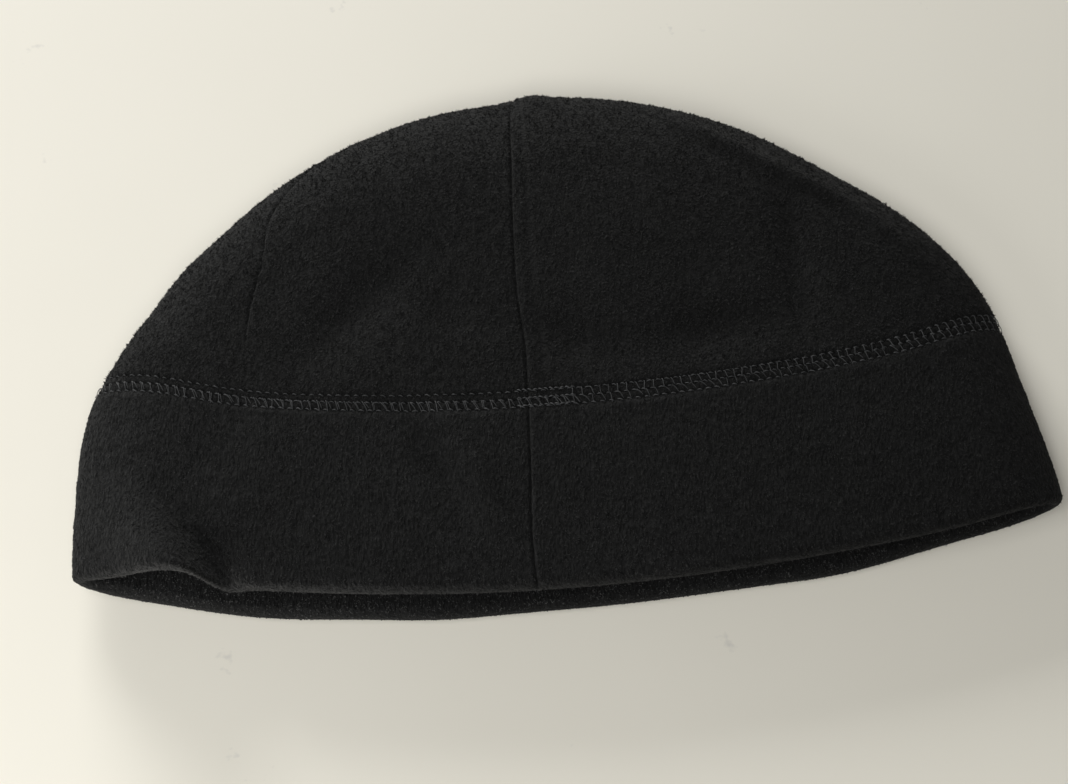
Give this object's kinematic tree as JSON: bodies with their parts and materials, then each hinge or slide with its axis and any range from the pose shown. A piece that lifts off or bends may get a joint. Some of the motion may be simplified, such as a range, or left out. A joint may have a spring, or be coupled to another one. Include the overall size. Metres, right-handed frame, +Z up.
{
  "type": "fleece beanie",
  "caption": "Close-fitting fleece skull cap lying flat: a domed crown shaped by darts, joined by a flat coverstitched seam to a wide doubled band.",
  "frame": {"origin": "on the supporting surface, under the middle of the outline of the cap as it lies flat", "axes": "+X across the opening, +Y from the opening to the top of the crown, +Z up from the supporting surface"},
  "size_m": [0.29, 0.1738, 0.031],
  "materials": {
    "crown_fleece": "short brushed fleece pile, matt, black",
    "band_fleece": "short brushed fleece pile with a lengthwise grain, matt, black",
    "seam_thread": "textured polyester sewing thread, slightly shiny, dark grey-black",
    "label_tape": "plain white woven tape, blank"
  },
  "bodies": {
    "root": {"crown": "crown_fleece", "band": "band_fleece", "coverstitch_needle_threads": "seam_thread", "coverstitch_looper_thread": "seam_thread", "join_overlock_thread": "seam_thread", "back_seam_thread": "seam_thread", "dart_thread_right_back": "seam_thread", "dart_thread_right_front": "seam_thread", "dart_thread_front": "seam_thread", "dart_thread_left_front": "seam_thread", "dart_thread_left_back": "seam_thread", "band_seam_thread": "seam_thread", "care_label": "label_tape"}
  },
  "joints": []
}
